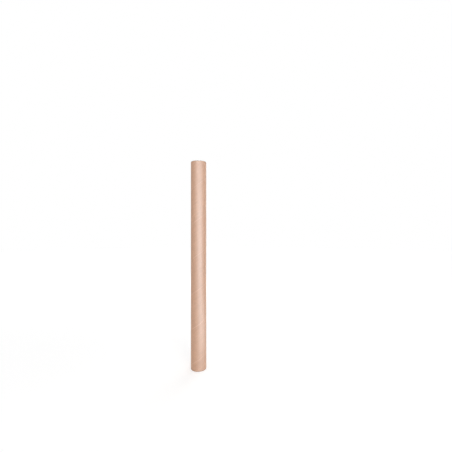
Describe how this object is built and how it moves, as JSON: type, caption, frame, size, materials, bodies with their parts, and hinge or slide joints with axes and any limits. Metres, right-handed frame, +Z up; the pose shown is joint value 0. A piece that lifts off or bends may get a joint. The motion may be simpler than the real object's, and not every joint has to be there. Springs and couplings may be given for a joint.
{
  "type": "cardboard mailing tube",
  "caption": "Tall round mailing tube, spiral wound from brown kraft board, standing on end and closed at each end by a white plastic push-in cap that pulls out.",
  "frame": {"origin": "centre of the base, on the outer face of the lower cap's flange", "axes": "+Z up along the tube, -Y towards the front that the picture shows"},
  "size_m": [0.054, 0.054, 0.723],
  "materials": {
    "board": "smooth kraft paper, faint satin",
    "cap_plastic": "moulded polyethylene, soft satin"
  },
  "bodies": {
    "bottom_cap": {"bottom_cap": "cap_plastic"},
    "tube": {"tube": "board"},
    "top_cap": {"top_cap": "cap_plastic"}
  },
  "joints": [
    {"name": "tube_pull", "type": "slide", "parent": "bottom_cap", "child": "tube", "axis": [0, 0, 1], "range_m": [0, 0.05]},
    {"name": "top_cap_pull", "type": "slide", "parent": "tube", "child": "top_cap", "axis": [0, 0, 1], "range_m": [0, 0.05]}
  ]
}
